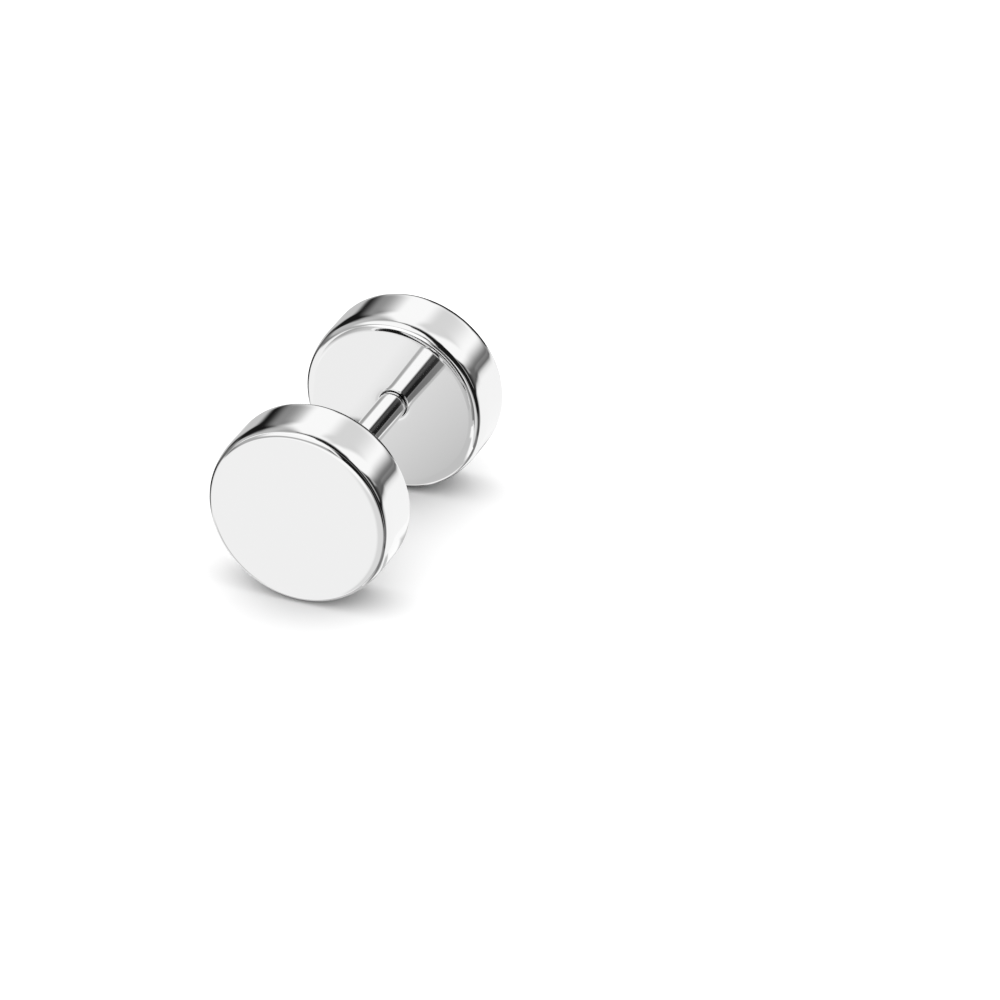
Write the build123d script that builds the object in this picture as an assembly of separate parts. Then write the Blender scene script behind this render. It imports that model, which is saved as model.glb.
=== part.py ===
from build123d import *
from math import cos, radians, sin, sqrt
import os

# An ear stud of polished steel: two thick round discs on a thin straight post. One end of the post is
# turned down and pressed into the front disc, and the back disc screws onto the other. Sizes are in
# millimetres, angles in degrees. The stud lies as it rests on a table, on the rims of both discs: its
# axis is along Y, its front face looks towards -Y, and the table is the plane Z = 0.

# Discs, alike outside, and how far the face that each turns to the other is hollowed in its middle
disc_diameter = 8.0
disc_thickness = 2.65
hollow_depth = 0.12

# Soft edge on the front of each disc: three arcs in line with each other, from the face to the rim
face_roll_radius = 1.0
face_roll_angle = 10.0
edge_radius = 0.35
rim_roll_radius = 2.0
rim_roll_angle = 18.0

# Crisp edge on the back of each disc: two arcs, in line in the same way
crisp_edge_radius = 0.3
crisp_roll_radius = 3.0
crisp_roll_angle = 5.0

# Post, its bare stretch between the discs, and its turned-down end in the front disc
post_diameter = 1.2
bare_length = 7.2
seat_diameter = 0.8
seat_length = 1.6
seat_clearance = 0.01
seat_end_gap = 0.05
shoulder_gap = 0.01
post_end_chamfer = 0.12

# Thread on the post's other end and in the back disc, drawn as rings that clear each other, and the
# relief turned into the post where its thread begins
thread_length = 2.1
thread_pitch = 0.25
thread_depth = 0.16
thread_crest = 0.04
relief_start = 0.1
relief_width = 0.6
thread_clearance = 0.03
thread_end_gap = 0.1
mouth_diameter = 1.36

# How far the shapes that cut the holes stand out of the disc's face
cutter_overrun = 1.0

disc_radius = disc_diameter / 2
post_radius = post_diameter / 2
seat_radius = seat_diameter / 2
hole_radius = post_radius + thread_clearance
overall_length = 2 * disc_thickness + bare_length

# Places along the axis, from the front face to the back one
front_face = -overall_length / 2
front_inner_face = front_face + disc_thickness
back_inner_face = front_inner_face + bare_length
back_face = back_inner_face + disc_thickness
front_hollow = front_inner_face - hollow_depth
back_hollow = back_inner_face + hollow_depth


def turned(edges):
    """The solid that a half section draws as it turns about the stud's axis, at its height."""
    return Pos(0, 0, disc_radius) * revolve(make_face(Curve() + edges), Axis.Y, 360)


def turned_from_points(points):
    """The same, from the corners of a half section that starts and ends on the axis."""
    return turned([Line(a, b) for a, b in zip(points, points[1:] + points[:1])])


def edge_arcs(face, inward, turns):
    """An edge's arcs, from the face to the rim, by (radius, first angle, last angle); inward is 1 or -1."""
    width = sum(radius * (sin(radians(end)) - sin(radians(start))) for radius, start, end in turns)
    reach, depth = disc_radius - width, 0.0
    arcs = []
    for radius, start, end in turns:
        points = [
            (
                reach + radius * (sin(radians(angle)) - sin(radians(start))),
                face + inward * (depth + radius * (cos(radians(start)) - cos(radians(angle)))),
            )
            for angle in (start, (start + end) / 2, end)
        ]
        arcs.append(ThreePointArc(*points))
        reach, depth = points[-1][0], abs(points[-1][1] - face)
    return arcs


def soft_edge(face):
    """The buffed edge on the front of a disc."""
    rim_roll_start = 90 - rim_roll_angle
    turns = (
        (face_roll_radius, 0, face_roll_angle),
        (edge_radius, face_roll_angle, rim_roll_start),
        (rim_roll_radius, rim_roll_start, 90),
    )
    return edge_arcs(face, 1, turns)


def crisp_edge(face):
    """The edge on the back of a disc."""
    crisp_roll_start = 90 - crisp_roll_angle
    turns = (
        (crisp_edge_radius, 0, crisp_roll_start),
        (crisp_roll_radius, crisp_roll_start, 90),
    )
    return edge_arcs(face, -1, turns)


def flat(face, edge):
    """A flat face, from the axis out to its edge."""
    return Line((0, face), edge[0] @ 0)


def hollow(face, inward, edge):
    """A hollowed face, level on the axis and rising from there to its edge; inward is 1 or -1 along Y."""
    reach = (edge[0] @ 0).X
    bend = (reach**2 + hollow_depth**2) / (2 * hollow_depth)
    half_way = hollow_depth - (bend - sqrt(bend**2 - (reach / 2) ** 2))
    return ThreePointArc(
        (0, face + inward * hollow_depth), (reach / 2, face + inward * half_way), (reach, face)
    )


def blank(front_line, front_edge, back_line, back_edge):
    """A solid disc from its half section's lines: a face and its edge in front, and the same behind."""
    rim = Line(front_edge[-1] @ 1, back_edge[-1] @ 1)
    axis = Line(back_line @ 0, front_line @ 0)
    return turned([front_line, *front_edge, rim, *back_edge, back_line, axis])


def groove(start, width, crest_radius, depth):
    """Corners of a ring groove with sloping flanks; a negative depth cuts outwards."""
    flank = (thread_pitch - 2 * thread_crest) / 2
    root_radius = crest_radius - depth
    end = start + width
    return [
        (crest_radius, start),
        (root_radius, start + flank),
        (root_radius, end - flank),
        (crest_radius, end),
    ]


def thread_rings(start, end, crest_radius, depth):
    """Corners of the thread's ring grooves that fit between start and end."""
    points = []
    for ring in range(int((end - start) / thread_pitch)):
        points += groove(start + ring * thread_pitch, thread_pitch - thread_crest, crest_radius, depth)
    return points


def front_disc():
    """The front disc, with the blind hole that holds the post's turned-down end."""
    hole_end = front_inner_face - seat_length - seat_end_gap
    seat_hole_radius = seat_radius + seat_clearance
    hole = turned_from_points(
        [
            (0, hole_end),
            (seat_hole_radius, hole_end),
            (seat_hole_radius, front_inner_face + cutter_overrun),
            (0, front_inner_face + cutter_overrun),
        ]
    )
    front_edge, back_edge = soft_edge(front_face), crisp_edge(front_inner_face)
    front_line = flat(front_face, front_edge)
    back_line = hollow(front_inner_face, -1, back_edge)
    return blank(front_line, front_edge, back_line, back_edge) - hole


def post():
    """The post: the turned-down end, the bare stretch, and the thread with its bevelled tip."""
    start = front_inner_face - seat_length
    shoulder = front_hollow + shoulder_gap
    relief = back_hollow + relief_start
    thread = relief + relief_width + thread_crest
    end = back_inner_face + thread_length
    return turned_from_points(
        [(0, start), (seat_radius - post_end_chamfer, start), (seat_radius, start + post_end_chamfer)]
        + [(seat_radius, shoulder), (post_radius, shoulder)]
        + groove(relief, relief_width, post_radius, thread_depth)
        + thread_rings(thread, end - post_end_chamfer, post_radius, thread_depth)
        + [(post_radius, end - post_end_chamfer), (post_radius - post_end_chamfer, end), (0, end)]
    )


def back_disc():
    """The back disc, with its tapped blind hole and the small bevel at the hole's mouth."""
    mouth_radius = mouth_diameter / 2
    mouth_depth = mouth_radius - hole_radius
    hole_end = back_inner_face + thread_length + thread_end_gap
    hole = turned_from_points(
        [
            (0, back_inner_face - cutter_overrun),
            (mouth_radius, back_inner_face - cutter_overrun),
            (mouth_radius, back_hollow),
            (hole_radius, back_hollow + mouth_depth),
        ]
        + thread_rings(back_hollow + relief_start, hole_end, hole_radius, -thread_depth)
        + [(hole_radius, hole_end), (0, hole_end)]
    )
    front_edge, back_edge = soft_edge(back_inner_face), crisp_edge(back_face)
    front_line = hollow(back_inner_face, 1, front_edge)
    back_line = flat(back_face, back_edge)
    return blank(front_line, front_edge, back_line, back_edge) - hole


os.makedirs("parts", exist_ok=True)
for name, make in (("front_disc", front_disc), ("post", post), ("back_disc", back_disc)):
    export_step(make(), "parts/" + name + ".step")
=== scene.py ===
import math

import bpy
import numpy as np
from mathutils import Matrix, Vector


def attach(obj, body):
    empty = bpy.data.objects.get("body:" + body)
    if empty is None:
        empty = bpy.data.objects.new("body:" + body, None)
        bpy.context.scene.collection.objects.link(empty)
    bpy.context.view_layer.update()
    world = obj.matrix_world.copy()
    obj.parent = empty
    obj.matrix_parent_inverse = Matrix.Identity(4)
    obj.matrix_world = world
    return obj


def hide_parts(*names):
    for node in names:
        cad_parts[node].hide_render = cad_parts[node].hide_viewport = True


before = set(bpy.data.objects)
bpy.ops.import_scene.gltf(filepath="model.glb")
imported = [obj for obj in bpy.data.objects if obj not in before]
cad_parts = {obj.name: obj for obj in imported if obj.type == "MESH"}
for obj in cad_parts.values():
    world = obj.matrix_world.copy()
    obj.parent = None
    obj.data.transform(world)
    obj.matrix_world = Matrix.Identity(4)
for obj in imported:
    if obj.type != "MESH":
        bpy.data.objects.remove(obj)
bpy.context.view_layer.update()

# Post. A length of 1.2 mm bar of surgical stainless steel, cut and turned in a small lathe. One end
# is turned down to a spigot that is pressed into the front disc. The other has a relief and a thread
# of 0.25 mm pitch for the back disc. The bare bar between the discs is buffed to a mirror.

# sizes in mm, and places along the post from the middle of its bare length towards the back disc
mm = 0.001
post_radius = 0.6
spigot_radius = 0.4
spigot_start = -5.2
shoulder = -3.71
corner_break = 0.01
end_bevel = 0.12
relief_start = 3.82
relief_end = 4.42
thread_pitch = 0.25
thread_depth = 0.16
thread_crest = 0.04
thread_flank = (thread_pitch - 2 * thread_crest) / 2
post_tip = 5.7
axis_height = 4.0
post_sides = 160
bar_rings = 12
thread_step = 0.0125
last_ring_gap = 0.001
sharp_angle = 32


def turned(name, section, sides):
    """A closed solid of revolution; section(turn) gives (place along the axis, radius) pairs in mm."""
    around = [section(side / sides) for side in range(sides)]
    inner = len(around[0]) - 2
    verts = [(0.0, around[0][0][0] * mm, axis_height * mm)]
    for side, points in enumerate(around):
        angle = 2 * math.pi * side / sides
        for along, radius in points[1:-1]:
            across = radius * math.cos(angle)
            above = axis_height + radius * math.sin(angle)
            verts.append((across * mm, along * mm, above * mm))
    verts.append((0.0, around[0][-1][0] * mm, axis_height * mm))
    faces = []
    for side in range(sides):
        here = 1 + side * inner
        there = 1 + (side + 1) % sides * inner
        faces.append((0, here, there))
        for step in range(inner - 1):
            faces.append((here + step, here + step + 1, there + step + 1, there + step))
        faces.append((here + inner - 1, len(verts) - 1, there + inner - 1))
    mesh = bpy.data.meshes.new(name)
    mesh.from_pydata(verts, [], faces)
    mesh.shade_smooth()
    mesh.set_sharp_from_angle(angle=math.radians(sharp_angle))
    piece = bpy.data.objects.new(name, mesh)
    bpy.context.scene.collection.objects.link(piece)
    return piece


def thread_cut(along, turn):
    """How deep the thread's helix cuts into its crest at a place along the axis and a part of a turn."""
    from_crest = abs((along / thread_pitch - turn + 0.5) % 1 - 0.5) * thread_pitch
    return thread_depth * min(max((from_crest - thread_crest / 2) / thread_flank, 0), 1)


def post_section(turn):
    """The post's half section from the spigot's end to the thread's tip, at a part of a turn."""
    points = [(spigot_start, 0.0), (spigot_start, spigot_radius - end_bevel)]
    points += [(spigot_start + end_bevel, spigot_radius), (shoulder, spigot_radius)]
    points += [(shoulder, post_radius - corner_break), (shoulder + corner_break, post_radius)]
    bar_start, bar_end = shoulder + 2 * corner_break, relief_start - corner_break
    points += [(along, post_radius) for along in np.linspace(bar_start, bar_end, bar_rings)]
    for along in np.arange(relief_start, post_tip - last_ring_gap, thread_step):
        into_relief = min(along - relief_start, relief_end - along) / thread_flank
        relief_cut = thread_depth * min(max(into_relief, 0), 1)
        helix_cut = thread_cut(along, turn) if along > relief_end else 0.0
        bevel_cut = max(along - (post_tip - end_bevel), 0)
        points.append((along, post_radius - max(relief_cut, helix_cut, bevel_cut)))
    points += [(post_tip, post_radius - end_bevel - corner_break), (post_tip, 0.0)]
    return points


def linear(colour):
    """A hex colour in sRGB, as linear red, green and blue with a full alpha."""
    values = [int(colour[place:place + 2], 16) / 255 for place in (1, 3, 5)]
    return [v / 12.92 if v <= 0.04045 else ((v + 0.055) / 1.055) ** 2.4 for v in values] + [1.0]


def add(tree, kind, links=None, **settings):
    """Adds a node, sets its own settings, and fills its inputs with values or other nodes' outputs."""
    node = tree.nodes.new(kind)
    for key, value in settings.items():
        setattr(node, key, value)
    for socket, value in (links or {}).items():
        if isinstance(value, bpy.types.NodeSocket):
            tree.links.new(value, node.inputs[socket])
        else:
            node.inputs[socket].default_value = value
    return node


def material_tree(name):
    """A new material's empty node tree, and the material."""
    material = bpy.data.materials.new(name)
    material.use_nodes = True
    material.node_tree.nodes.clear()
    return material.node_tree, material


# Surgical steel bar, buffed along its length: a bright neutral mirror, with faint drawn lines that
# stretch each glint along the bar. Real ones are about 0.01 mm apart, so these are drawn coarser.
polished_steel = "#f3f3f3"
drawn_line_spacing = 0.06
drawn_line_stretch = 0.02
drawn_line_depth = 0.0002
tree, buffed_bar = material_tree("surgical_steel_buffed_bar")
place = add(tree, "ShaderNodeTexCoord").outputs["Object"]
along_bar = add(tree, "ShaderNodeMapping", {
    "Vector": place, "Scale": (1.0, drawn_line_stretch, 1.0)})
lines = add(tree, "ShaderNodeTexNoise", {
    "Vector": along_bar.outputs[0], "Scale": 1 / (drawn_line_spacing * mm), "Detail": 3.0})
shine = add(tree, "ShaderNodeMapRange", {
    "Value": lines.outputs["Fac"], "To Min": 0.03, "To Max": 0.06})
relief = add(tree, "ShaderNodeBump", {
    "Height": lines.outputs["Fac"], "Strength": 0.1, "Distance": drawn_line_depth * mm})
metal = add(tree, "ShaderNodeBsdfPrincipled", {
    "Base Color": linear(polished_steel), "Metallic": 1.0,
    "Roughness": shine.outputs[0], "Normal": relief.outputs[0]})
add(tree, "ShaderNodeOutputMaterial", {"Surface": metal.outputs[0]})

post = turned("turned_post", post_section, post_sides)
post.data.materials.append(buffed_bar)
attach(post, "fixed_side")
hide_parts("post")

# Front disc. A blank of the same steel, turned to 8 mm across and 2.65 mm thick. Its outer face is
# flat, with a soft edge rolled over by the buffing wheel. Its inner face is hollowed a little, has a
# crisp edge, and is bored with a blind hole for the post's spigot.
disc_radius = 4.0
disc_thickness = 2.65
hollow_depth = 0.12
# each edge as arcs from face to rim: the radius in mm, and the angles in degrees that it turns between
soft_edge = ((1.0, 0, 10), (0.35, 10, 72), (2.0, 72, 90))
crisp_edge = ((0.3, 0, 85), (3.0, 85, 90))
front_face = -6.25
front_inner_face = front_face + disc_thickness
spigot_hole_radius = 0.41
spigot_hole_end = -5.25
spigot_hole_break = 0.02
disc_sides = 320
arc_step = 4
arc_fewest_steps = 4
face_rings = 16
rim_rings = 4
edge_gap = 0.02
middle_ring = 0.3
spigot_hole_ring = 0.6


def edge_points(arcs, face, inward):
    """An edge's arcs, (radius, first angle, last angle), from the face over to the rim, as points."""
    radians = math.radians
    width = sum(bend * (math.sin(radians(end)) - math.sin(radians(start))) for bend, start, end in arcs)
    radius = disc_radius - width
    depth = 0.0
    points = [(face, radius)]
    for bend, start, end in arcs:
        steps = max(math.ceil((end - start) / arc_step), arc_fewest_steps)
        for angle in np.linspace(start, end, steps + 1)[1:]:
            out = radius + bend * (math.sin(radians(angle)) - math.sin(radians(start)))
            down = depth + bend * (math.cos(radians(start)) - math.cos(radians(angle)))
            points.append((face + inward * down, out))
        radius, depth = out, down
    return points


def face_points(face, inward, reach, inner_radius, depth):
    """A face as rings from near its hole out to its edge; it is hollowed by depth in its middle."""
    bend = (reach ** 2 + depth ** 2) / (2 * depth) if depth else 0.0
    points = []
    for radius in np.linspace(inner_radius, reach - edge_gap, face_rings):
        sunk = depth - (bend - math.sqrt(bend ** 2 - radius ** 2)) if depth else 0.0
        points.append((face + inward * sunk, radius))
    return points


def disc_section(front, back, front_ring, back_ring, front_depth, back_depth):
    """A disc's half section from the inside of its front face over its rim to that of its back face."""
    front_edge = edge_points(soft_edge, front, 1)
    back_edge = edge_points(crisp_edge, back, -1)
    rim = np.linspace(front_edge[-1][0], back_edge[-1][0], rim_rings + 2)[1:-1]
    return (
        face_points(front, 1, front_edge[0][1], front_ring, front_depth) + front_edge
        + [(along, disc_radius) for along in rim] + back_edge[::-1]
        + face_points(back, -1, back_edge[0][1], back_ring, back_depth)[::-1]
    )


def front_disc_section(turn):
    """The front disc's half section, the same all round, with the spigot's hole in its inner face."""
    mouth = front_inner_face - hollow_depth
    hole = [(mouth, spigot_hole_radius + spigot_hole_break)]
    hole += [(mouth - spigot_hole_break, spigot_hole_radius)]
    hole += [(spigot_hole_end, spigot_hole_radius), (spigot_hole_end, 0.0)]
    outside = disc_section(front_face, front_inner_face, middle_ring, spigot_hole_ring, 0.0, hollow_depth)
    return [(front_face, 0.0)] + outside + hole


# The same steel, turned and then mirror-buffed: very bright and neutral, with a slow unevenness, some
# 1.6 mm across, that makes the reflections swim a little.
swim_size = 1.6
swim_depth = 0.002
tree, buffed_disc = material_tree("surgical_steel_mirror_buffed")
place = add(tree, "ShaderNodeTexCoord").outputs["Object"]
swim = add(tree, "ShaderNodeTexNoise", {
    "Vector": place, "Scale": 1 / (swim_size * mm), "Detail": 1.0})
shine = add(tree, "ShaderNodeMapRange", {
    "Value": swim.outputs["Fac"], "To Min": 0.03, "To Max": 0.05})
relief = add(tree, "ShaderNodeBump", {
    "Height": swim.outputs["Fac"], "Strength": 0.2, "Distance": swim_depth * mm})
metal = add(tree, "ShaderNodeBsdfPrincipled", {
    "Base Color": linear(polished_steel), "Metallic": 1.0,
    "Roughness": shine.outputs[0], "Normal": relief.outputs[0]})
add(tree, "ShaderNodeOutputMaterial", {"Surface": metal.outputs[0]})

front_disc = turned("front_disc_turned", front_disc_section, disc_sides)
front_disc.data.materials.append(buffed_disc)
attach(front_disc, "fixed_side")
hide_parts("front_disc")

# Back disc. Turned from the same blank to the same size, with a tapped blind hole in its inner face.
# It screws onto the post by hand, and its hole has a small bevel at the mouth.
back_face = 6.25
back_inner_face = back_face - disc_thickness
tapped_radius = 0.63
mouth_radius = 0.68
mouth_break = 0.01
tapped_end = 5.8
tapped_hole_ring = 0.8


def back_disc_section(turn):
    """The back disc's half section, from its outer face round to the tapped hole, at a part of a turn."""
    mouth = back_inner_face + hollow_depth
    outside = disc_section(back_inner_face, back_face, tapped_hole_ring, middle_ring, hollow_depth, 0.0)
    hole = [(mouth, mouth_radius + mouth_break)]
    for along in np.arange(mouth + mouth_break / 2, tapped_end - last_ring_gap, thread_step):
        bevel = mouth_radius - (along - mouth)
        cut = thread_cut(along, turn) if along > relief_start else 0.0
        hole.append((along, max(tapped_radius + cut, bevel)))
    hole += [(tapped_end, tapped_radius), (tapped_end, 0.0)]
    return [(back_face, 0.0)] + outside[::-1] + hole


back_disc = turned("back_disc_turned", back_disc_section, disc_sides)
back_disc.data.materials.append(buffed_disc)
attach(back_disc, "screw_back")
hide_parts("back_disc")

# Table. A round sheet of matt white board, 6 m across, which gives the eye a plain pale ground with no
# gloss. The stud lies on it on the rims of both discs. The white room lights it from all round, so
# that the shadows are soft, and dark only where the discs touch the board.
table_radius = 3.0
table_sides = 64
tree, white_board = material_tree("matt_white_board")
board = add(tree, "ShaderNodeBsdfDiffuse", {"Color": linear("#fafafa")})
add(tree, "ShaderNodeOutputMaterial", {"Surface": board.outputs[0]})
corners = [
    (table_radius * math.cos(angle), table_radius * math.sin(angle), 0.0)
    for angle in np.linspace(0, 2 * math.pi, table_sides + 1)[:-1]
]
mesh = bpy.data.meshes.new("table")
mesh.from_pydata(corners, [], [tuple(range(table_sides))])
mesh.materials.append(white_board)
table = bpy.data.objects.new("table", mesh)
bpy.context.scene.collection.objects.link(table)
table.visible_glossy = False

room_light = 1.45
world = bpy.data.worlds.new("white_room")
world.use_nodes = True
tree = world.node_tree
tree.nodes.clear()
room = add(tree, "ShaderNodeBackground", {"Color": linear("#ffffff"), "Strength": room_light})
add(tree, "ShaderNodeOutputWorld", {"Surface": room.outputs[0]})
world.cycles_visibility.glossy = False
bpy.context.scene.world = world
bpy.context.scene.view_settings.view_transform = "Standard"

# Lit paper. What the steel mirrors: its light is painted on the points of each sheet. Only polished
# steel sees it, so it neither lights the table nor hides anything from the camera. Nor does it reach
# the table by way of the steel, which keeps the shadows at the discs' feet dark.
tree, lit_paper = material_tree("lit_tent_paper")
painted = add(tree, "ShaderNodeAttribute", attribute_name="light")
depth = add(tree, "ShaderNodeLightPath").outputs["Diffuse Depth"]
not_for_table = add(tree, "ShaderNodeMath", {0: depth, 1: 0.5}, operation="LESS_THAN")
glow = add(tree, "ShaderNodeMath", {
    0: painted.outputs["Fac"], 1: not_for_table.outputs[0]}, operation="MULTIPLY")
paper = add(tree, "ShaderNodeEmission", {"Strength": glow.outputs[0]})
add(tree, "ShaderNodeOutputMaterial", {"Surface": paper.outputs[0]})
lit_paper.cycles.emission_sampling = "NONE"


def lit_sheet(name, points, lights, closed, caps=()):
    """Rows of points, in metres, joined to a sheet of lit paper, closed round or not, with end points."""
    rows, count = lights.shape
    verts = points.reshape(-1, 3).tolist() + [list(cap) for cap, light in caps]
    faces = [
        (row * count + step, row * count + (step + 1) % count,
         (row + 1) * count + (step + 1) % count, (row + 1) * count + step)
        for row in range(rows - 1) for step in range(count if closed else count - 1)
    ]
    for number, row in enumerate((0, rows - 1)[:len(caps)]):
        faces += [
            (row * count + step, row * count + (step + 1) % count, rows * count + number)
            for step in range(count)
        ]
    mesh = bpy.data.meshes.new(name)
    mesh.from_pydata(verts, [], faces)
    values = lights.ravel().tolist() + [light for cap, light in caps]
    mesh.attributes.new("light", "FLOAT", "POINT").data.foreach_set("value", values)
    mesh.materials.append(lit_paper)
    sheet = bpy.data.objects.new(name, mesh)
    sheet.visible_camera = sheet.visible_diffuse = sheet.visible_shadow = False
    bpy.context.scene.collection.objects.link(sheet)


# Table between the discs, as the steel mirrors it there: lit paper just over the board, with light and
# shade painted on it: bright on the left, in the discs' painted shade from the post on to the right, and
# a painted shadow close behind the front disc's left side. Near each disc the painted shade reaches
# further to the right than halfway between them.

# places across the table in mm, and the light there
table_shade = (
    (-3.9, 0.94), (-3.2, 0.85), (-2.2, 0.76), (0.0, 0.65), (1.3, 0.58), (2.4, 0.58), (3.1, 1.05))
# where the shade begins to reach further right, and by how many mm at places along the post
shade_edge = 2.4
shade_reach = ((-2.9, 2.4), (-2.6, 0.0), (-1.4, 0.0), (-0.7, 1.4))
# a painted shadow behind the front disc's left side: its middle and size in mm, how far in it stays
# darkest, and the light there
shadow_spot = Vector((-3.6, -1.25))
shadow_spot_size = (0.6, 0.35)
shadow_spot_core = 0.4
shadow_spot_light = 0.05
table_cell = 0.1
table_lift = 0.002
# each area's name, and its left, right, near and far edges in mm
table_areas = (
    ("table_between_discs", -7.0, 3.1, -6.2, 3.6),
    ("table_right_of_post", 3.1, 5.5, -3.6, 3.6),
)
for name, left, right, near, far in table_areas:
    x, y = np.meshgrid(
        np.arange(left, right + table_cell / 10, table_cell),
        np.arange(near, far + table_cell / 10, table_cell))
    reach = np.interp(y, [place for place, more in shade_reach], [more for place, more in shade_reach])
    drawn_in = np.where(x > shade_edge, np.maximum(x - reach, shade_edge), x)
    light = np.interp(
        drawn_in, [place for place, shade in table_shade], [shade for place, shade in table_shade])
    away = np.hypot(
        (x - shadow_spot.x) / shadow_spot_size[0], (y - shadow_spot.y) / shadow_spot_size[1])
    light *= np.clip(away - shadow_spot_core, shadow_spot_light, 1)
    points = np.stack([x * mm, y * mm, np.full(x.shape, table_lift * mm)], -1)
    lit_sheet(name, points, light, closed=False)

# Cards of lit paper round the front disc, set in the plane of its face, whose painted light the post
# mirrors as its painted reflection: grey below, black to the right with a paler stripe, white above and
# light grey to the left.
card_light = 1.2
bare_card = "#d8d8d8"
card_gap = 0.15
card_step = 2
card_rings = (5.4, 8.2, 11.0)
# where each card begins and ends, in degrees round from the right, how softly it blurs, and its shade
# at its inner and its outer edge
cards = (
    (-64, 0, 12, "#989898", "#707070"),
    (0, 68, 12, "#585858", "#1c1c1c"),
    (36, 60, 14, "#707070", "#484848"),
    (72, 146, 10, "#fcfcfc", "#fcfcfc"),
    (150, 194, 20, "#c4c4c4", "#a0a0a0"),
    (196, 212, 16, "#dcdcdc", "#ececec"),
)
degrees = np.arange(cards[0][0], cards[-1][1] + 1, card_step)
lights = np.full((len(card_rings), len(degrees)), card_light * linear(bare_card)[0])
for start, end, blur, inner_shade, outer_shade in cards:
    cover = np.clip(np.minimum(degrees - start, end - degrees) / blur + 0.5, 0, 1)
    shades = (inner_shade, outer_shade, outer_shade)
    target = card_light * np.array([linear(shade)[0] for shade in shades])
    lights += (target[:, None] - lights) * cover
turn = np.radians(degrees)
points = np.array([
    np.stack([
        radius * np.cos(turn) * mm, np.full(turn.shape, (front_face - card_gap) * mm),
        (axis_height + radius * np.sin(turn)) * mm,
    ], -1)
    for radius in card_rings
])
lit_sheet("cards_round_front_disc", points, lights, closed=False)

# Light tent. White paper all round, 2.9 m away, with black flags, grey cards and the dark lens of the
# camera. They are far off beside the stud's size, so the steel mirrors them by their directions alone.
tent_radius = 2.9
tent_white = 1.05
tent_step = 1.5
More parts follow.
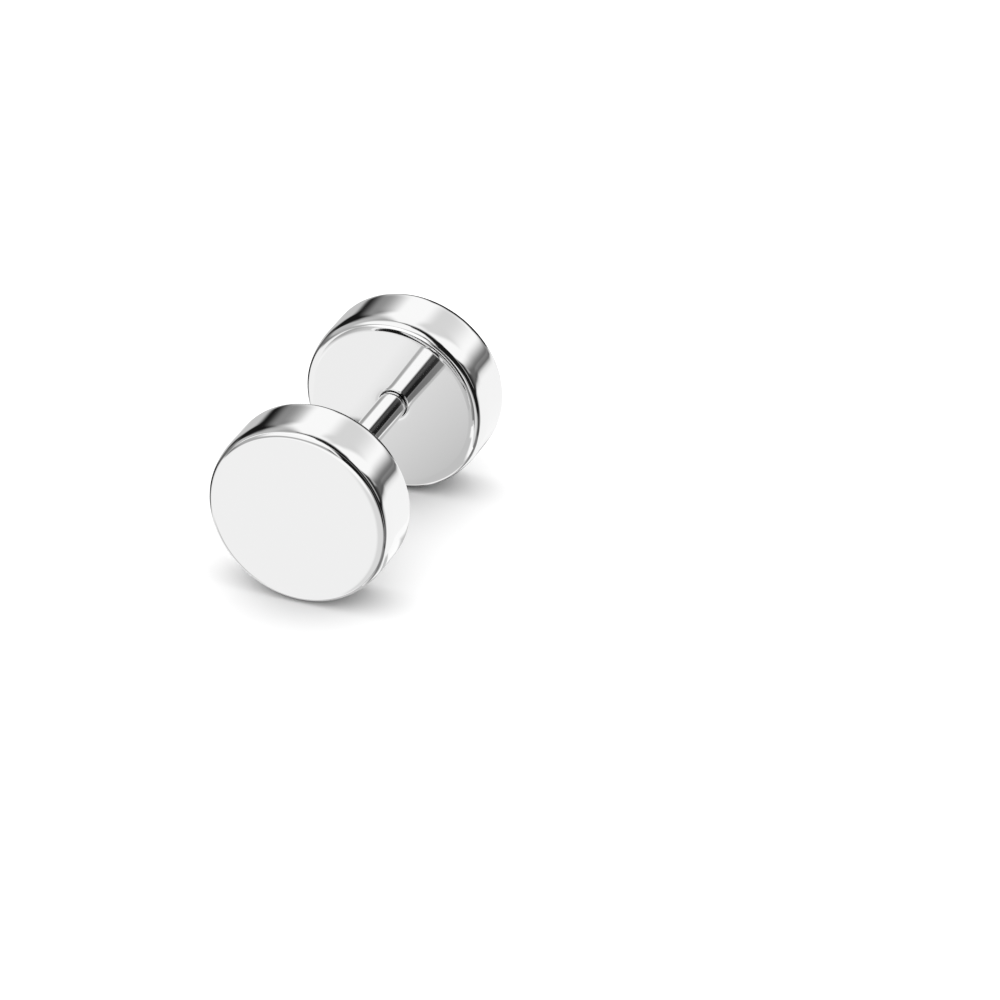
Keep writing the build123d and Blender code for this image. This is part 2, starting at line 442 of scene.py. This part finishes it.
# each one's outline in degrees (azimuth, from straight behind and round by the right, and elevation),
# how softly its edge blurs, and its shade; later ones lie over earlier ones
tent_panels = (
    # the far table
    ([(-400, 1), (400, 1), (400, -90), (-400, -90)], 2, "#fbfbfb"),
    # its duller front right, which the discs' right edges mirror
    ([(124, 0), (178, -6), (186, -20), (190, -45), (190, -76), (110, -76), (108, -60), (116, -20)],
     16, "#e2e2e2"),
    # the brighter table behind
    ([(-8, 1), (64, 1), (64, -48), (-2, -52)], 5, "#ffffff"),
    # the left wall
    ([(-96, 60), (-80, 66), (-60, 69), (-40, 67), (-40, 40), (-42, 0), (-122, 0), (-124, 26),
      (-112, 34), (-104, 44)], 18, "#c0c0c0"),
    # its dull upper corner
    ([(-70, 52), (-56, 62), (-44, 60), (-50, 50), (-60, 44)], 12, "#a5a5a5"),
    # the band from the camera's shade round to the left
    ([(158, 53), (172, 52), (184, 46), (200, 36), (230, 24), (255, 20), (258, -2), (235, 1), (215, 9),
      (205, 15), (185, 25), (168, 28), (160, 32)], 9, "#b2b2b2"),
    # the left wall's foot
    ([(-122, 7), (-58, 7), (-58, -4), (-112, -4)], 7, "#828282"),
    # the dark table at the low left, with two black strips
    ([(-96, 0), (-46, 0), (-46, -30), (-62, -36), (-92, -34), (-88, -14)], 8, "#696969"),
    ([(-86, -14), (-66, -11), (-58, -16), (-60, -19), (-86, -19)], 4, "#141414"),
    ([(-84, -21), (-60, -20), (-45, -23), (-35, -26), (-36, -29), (-56, -27), (-84, -26)], 4, "#141414"),
    # the dark corner on the left: its grey rim, the paler table under it, and the black
    ([(-60, 0), (-60, 26), (-50, 34), (-36, 34), (-28, 27), (-28, 14), (-31, 0)], 15, "#8c8c8c"),
    ([(-46, -3), (-29, -3), (-26, -24), (-44, -22)], 9, "#c8c8c8"),
    ([(-60, 1), (-60, 14), (-56, 24), (-48, 30), (-44, 20), (-38, 11), (-32, 3), (-34, -3), (-46, -3),
      (-46, -10), (-53, -10), (-54, -2)], 9, "#191919"),
    # the grey table at the low left, and the white under it
    ([(-125, -38), (-84, -38), (-62, -44), (-64, -54), (-90, -58), (-122, -56)], 8, "#cdcdcd"),
    ([(-130, -60), (-62, -60), (-30, -54), (-22, -40), (-24, -70), (-40, -74), (-120, -72)],
     4, "#ffffff"),
    # a thin dark strip at the low left
    ([(-64, -55), (-50, -50), (-38, -42), (-29, -35), (-27, -38), (-34, -44), (-46, -53), (-62, -59)],
     3, "#1e1e1e"),
    # the table's grey side to the right, its darker middle, and the greys below
    ([(66, 0), (90, -4), (122, -4), (120, -44), (108, -62), (60, -50), (66, -36)], 8, "#a5a5a5"),
    ([(74, -10), (92, -14), (112, -40), (100, -50), (60, -50), (76, -36)], 8, "#6e6e6e"),
    ([(0, -60), (100, -56), (112, -66), (60, -75), (10, -68)], 12, "#b2b2b2"),
    ([(-4, -51), (36, -51), (45, -49), (60, -46), (80, -44), (92, -42), (108, -46), (102, -60),
      (80, -64), (40, -65), (6, -60)], 6, "#7d7d7d"),
    # a black strip behind, which the discs' lower right edges mirror
    ([(-24, -29), (-18, -31), (-9, -46), (-4, -54), (-5, -60), (-10, -61), (-15, -58), (-20, -46)],
     4, "#050505"),
    # the table under the discs' lower edges, in their own shade
    ([(-70, -62), (-60, -60), (-43, -52), (-32, -43), (-26, -37), (-20, -38), (-19, -48), (-21, -60),
      (-28, -72), (-70, -76)], 5, "#323232"),
    # the grey rims of the black flag
    ([(118, -24), (132, 0), (140, 22), (122, 22), (116, 0)], 10, "#aaaaaa"),
    ([(116, 66), (128, 72), (138, 62), (152, 44), (146, 40), (124, 60)], 8, "#969696"),
    ([(-10, 78), (90, 76), (108, 74), (96, 84), (90, 88), (-10, 88)], 6, "#a0a0a0"),
    # the black gap over the backdrop
    ([(-48, 61), (-42, 67), (-32, 71), (-24, 74), (-10, 77), (5, 79), (12, 81), (22, 81.5), (34, 80),
      (66, 80), (66, 50), (60, 52), (54, 57.5), (45, 61), (36, 63.5), (27, 65.5), (18, 66.5),
      (9, 67.5), (0, 68), (-9, 68), (-18, 67), (-27, 66), (-36, 64), (-44, 60)], 5, "#191919"),
    # the black flag on the right
    ([(60, 80), (92, 79), (95, 76), (118, 73), (122, 66), (130, 62), (139, 54), (146, 46), (150, 41),
      (157, 38), (156, 32), (148, 27), (138, 22), (130, 19), (120, 14), (119, 0), (117, -12),
      (116, -18), (110, -24), (106, -32), (98, -40), (90, -44), (78, -43), (90, -36), (96, -28),
      (88, -22), (80, -17), (76, -12), (70, -7), (62, -0.5), (58, 1.5), (48, 1.2), (44, 0.8),
      (36, 0.5), (30, 0), (30, 3), (38, 3.5), (44, 6), (50, 9), (58, 12), (62.5, 15), (62.5, 24),
      (66, 31), (68.5, 36), (69, 42), (65, 50), (60, 54)], 4, "#191919"),
    # the light strip between the backdrop and the flag
    ([(69.5, 40), (75, 38), (75, 10), (73, 2), (70, 2), (70, 10), (69.5, 30)], 3, "#bebebe"),
    # the backdrop's foot in shade, and its duller middle
    ([(27, 0), (62, 2), (62, 22), (50, 18), (36, 12), (27, 10)], 14, "#696969"),
    ([(2, 30), (2, 58), (26, 62), (34, 50), (32, 26), (10, 28)], 14, "#dedede"),
    # the back of the set, which only edges turned straight back see
    ([(-29, 8), (-24, 17), (-16, 23), (-8, 28.5), (6, 28.5), (14, 25), (24, 18), (28, 8), (28, 2),
      (22, 0), (16, -5), (8, -11), (2, -13), (1, -24), (-8, -27), (-19, -28), (-21, -5), (-24, 2)],
     4, "#191919"),
    # the camera's lens
    ([(165, 48.5), (168, 45), (171, 40), (166.5, 38), (164, 34), (159.5, 35.5), (160, 41), (163, 46)],
     3, "#0f0f0f"),
)


def covered(outline, softness, azimuth, elevation):
    """1 well inside an outline, 0 well outside it, with an edge blurred over so many degrees."""
    nearest = np.full(azimuth.shape, 1e9)
    inside = np.zeros(azimuth.shape, bool)
    for (ax, ay), (bx, by) in zip(outline, outline[1:] + outline[:1]):
        run, rise = bx - ax, by - ay
        along = ((azimuth - ax) * run + (elevation - ay) * rise) / (run ** 2 + rise ** 2)
        along = np.clip(along, 0, 1)
        away = np.hypot(azimuth - ax - along * run, elevation - ay - along * rise)
        nearest = np.minimum(nearest, away)
        if rise:
            crosses = (ay > elevation) != (by > elevation)
            inside ^= crosses & (azimuth < ax + (elevation - ay) * run / rise)
    amount = np.clip(np.where(inside, nearest, -nearest) / softness + 0.5, 0, 1)
    return amount * amount * (3 - 2 * amount)


azimuth, elevation = np.meshgrid(
    np.arange(-180, 180, tent_step), np.arange(-90 + tent_step, 90, tent_step))
light = np.full(azimuth.shape, tent_white)
for outline, softness, shade in tent_panels:
    cover = np.zeros(azimuth.shape)
    for whole_turn in (-360, 0, 360):
        cover = np.maximum(cover, covered(outline, softness, azimuth + whole_turn, elevation))
    light += (linear(shade)[0] - light) * cover
level = tent_radius * np.cos(np.radians(elevation))
points = np.stack([
    level * np.sin(np.radians(azimuth)), level * np.cos(np.radians(azimuth)),
    tent_radius * np.sin(np.radians(elevation)),
], -1)
caps = (((0, 0, -tent_radius), light[0, 0]), ((0, 0, tent_radius), light[-1, 0]))
lit_sheet("light_tent", points, light, closed=True, caps=caps)

# Camera. A long lens 278 mm away, which looks down on the stud from its front and a little from its
# right. The stud's middle lies left of and above the middle of the frame.

# angles in degrees, distances in mm, and the frame in pixels
camera_azimuth = math.radians(22.2953)
camera_elevation = math.radians(30.7971)
camera_distance = 277.8
pixels_per_mm = 24.408
aim_right = 5.8656
aim_down = 2.1866
frame_pixels = 1000
film_width = 36.0
ahead = Vector((
    -math.sin(camera_azimuth) * math.cos(camera_elevation),
    math.cos(camera_azimuth) * math.cos(camera_elevation),
    -math.sin(camera_elevation),
))
right = Vector((math.cos(camera_azimuth), math.sin(camera_azimuth), 0))
up = right.cross(ahead)
spot = Vector((0, 0, axis_height)) + right * aim_right - up * aim_down - ahead * camera_distance
camera_data = bpy.data.cameras.new("camera")
camera_data.sensor_width = film_width
camera_data.lens = film_width * pixels_per_mm * camera_distance / frame_pixels
camera_data.clip_start = 0.01
camera_data.clip_end = 10
camera = bpy.data.objects.new("camera", camera_data)
bpy.context.scene.collection.objects.link(camera)
facing = Matrix((right, up, -ahead)).transposed().to_4x4()
camera.matrix_world = Matrix.Translation(spot * mm) @ facing
bpy.context.scene.camera = camera
